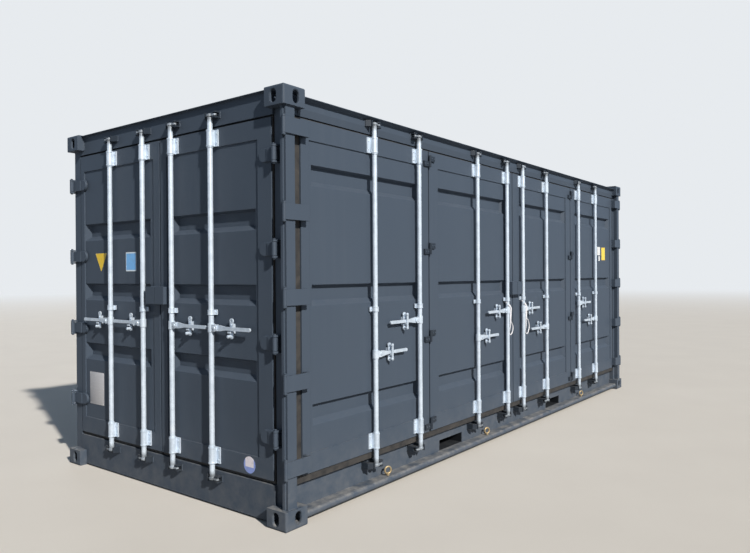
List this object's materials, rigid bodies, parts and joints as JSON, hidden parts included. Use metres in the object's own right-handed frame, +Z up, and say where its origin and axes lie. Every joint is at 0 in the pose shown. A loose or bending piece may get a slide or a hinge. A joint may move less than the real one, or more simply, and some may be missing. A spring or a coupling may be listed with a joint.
{
  "type": "side door shipping container",
  "caption": "Steel freight container with folding doors along one side, swinging doors with lock rods at one end and corner castings.",
  "frame": {"origin": "centre of the footprint on the ground, under the bottom castings", "axes": "+Z up, end doors face -X, folding side doors face -Y"},
  "size_m": [6.058, 2.438, 2.591],
  "materials": {
    "grey_paint": "satin dark grey marine paint",
    "galvanised_steel": "hot dip galvanised, dull",
    "yellow_zinc": "yellow passivated zinc, dusty",
    "seal_rubber": "matt black rubber",
    "floor_wood": "oiled hardwood ply"
  },
  "bodies": {
    "container": {"bottom_castings": "grey_paint", "top_castings": "grey_paint", "door_post_wall": "grey_paint", "door_post_side": "grey_paint", "rear_post_wall": "grey_paint", "rear_post_side": "grey_paint", "door_header": "grey_paint", "door_sill": "grey_paint", "side_top_rail": "grey_paint", "side_bottom_rail": "grey_paint", "wall_top_rail": "grey_paint", "wall_bottom_rail": "grey_paint", "rear_header": "grey_paint", "rear_sill": "grey_paint", "roof_panel": "grey_paint", "wall_panel": "grey_paint", "rear_panel": "grey_paint", "floor_boards": "floor_wood", "cross_members": "grey_paint", "fork_pockets": "grey_paint", "end_keepers": "grey_paint", "side_keepers": "grey_paint", "tie_rings": "yellow_zinc", "end_hinge_lugs": "grey_paint", "side_hinge_lugs": "grey_paint", "side_leaf_1": "grey_paint", "side_leaf_2": "grey_paint", "side_leaf_3": "grey_paint", "side_leaf_4": "grey_paint", "side_hinge_blades": "grey_paint", "fold_hinges": "grey_paint", "side_seals": "seal_rubber", "side_rods": "galvanised_steel", "side_handles": "galvanised_steel", "side_guides": "galvanised_steel", "side_catches": "galvanised_steel", "side_lock_box": "grey_paint"},
    "wall_leaf": {"end_leaf_wall": "grey_paint", "end_blades_wall": "grey_paint", "end_guides_wall": "galvanised_steel", "end_catches_wall": "galvanised_steel", "end_seal_wall": "seal_rubber", "end_lock_box_wall": "grey_paint"},
    "side_leaf": {"end_leaf_side": "grey_paint", "end_blades_side": "grey_paint", "end_guides_side": "galvanised_steel", "end_catches_side": "galvanised_steel", "end_seal_side": "seal_rubber", "end_lock_box_side": "grey_paint"},
    "rod_1": {"end_rod_1": "galvanised_steel"},
    "rod_2": {"end_rod_2": "galvanised_steel"},
    "rod_3": {"end_rod_3": "galvanised_steel"},
    "rod_4": {"end_rod_4": "galvanised_steel"},
    "handle_1": {"end_handle_1": "galvanised_steel"},
    "handle_2": {"end_handle_2": "galvanised_steel"},
    "handle_3": {"end_handle_3": "galvanised_steel"},
    "handle_4": {"end_handle_4": "galvanised_steel"}
  },
  "joints": [
    {"name": "wall_leaf_swing", "type": "hinge", "parent": "container", "child": "wall_leaf", "pos_m": [-3.003, 1.197, 1.36], "axis": [0, 0, -1], "range_deg": [0, 260]},
    {"name": "side_leaf_swing", "type": "hinge", "parent": "container", "child": "side_leaf", "pos_m": [-3.003, -1.108, 1.36], "axis": [0, 0, 1], "range_deg": [0, 180]},
    {"name": "rod_1_turn", "type": "hinge", "parent": "wall_leaf", "child": "rod_1", "pos_m": [-3.004, 0.643, 1.152], "axis": [0, 0, -1], "range_deg": [-100, 0]},
    {"name": "handle_1_lift", "type": "hinge", "parent": "rod_1", "child": "handle_1", "pos_m": [-3.004, 0.689, 1.152], "axis": [1, 0, 0], "range_deg": [0, 20]},
    {"name": "rod_2_turn", "type": "hinge", "parent": "wall_leaf", "child": "rod_2", "pos_m": [-3.004, 0.225, 1.152], "axis": [0, 0, -1], "range_deg": [-100, 0]},
    {"name": "handle_2_lift", "type": "hinge", "parent": "rod_2", "child": "handle_2", "pos_m": [-3.004, 0.271, 1.152], "axis": [1, 0, 0], "range_deg": [0, 20]},
    {"name": "rod_3_turn", "type": "hinge", "parent": "side_leaf", "child": "rod_3", "pos_m": [-3.004, -0.111, 1.152], "axis": [0, 0, 1], "range_deg": [-100, 0]},
    {"name": "handle_3_lift", "type": "hinge", "parent": "rod_3", "child": "handle_3", "pos_m": [-3.004, -0.157, 1.152], "axis": [-1, 0, 0], "range_deg": [0, 20]},
    {"name": "rod_4_turn", "type": "hinge", "parent": "side_leaf", "child": "rod_4", "pos_m": [-3.004, -0.529, 1.152], "axis": [0, 0, 1], "range_deg": [-100, 0]},
    {"name": "handle_4_lift", "type": "hinge", "parent": "rod_4", "child": "handle_4", "pos_m": [-3.004, -0.575, 1.152], "axis": [-1, 0, 0], "range_deg": [0, 20]}
  ]
}
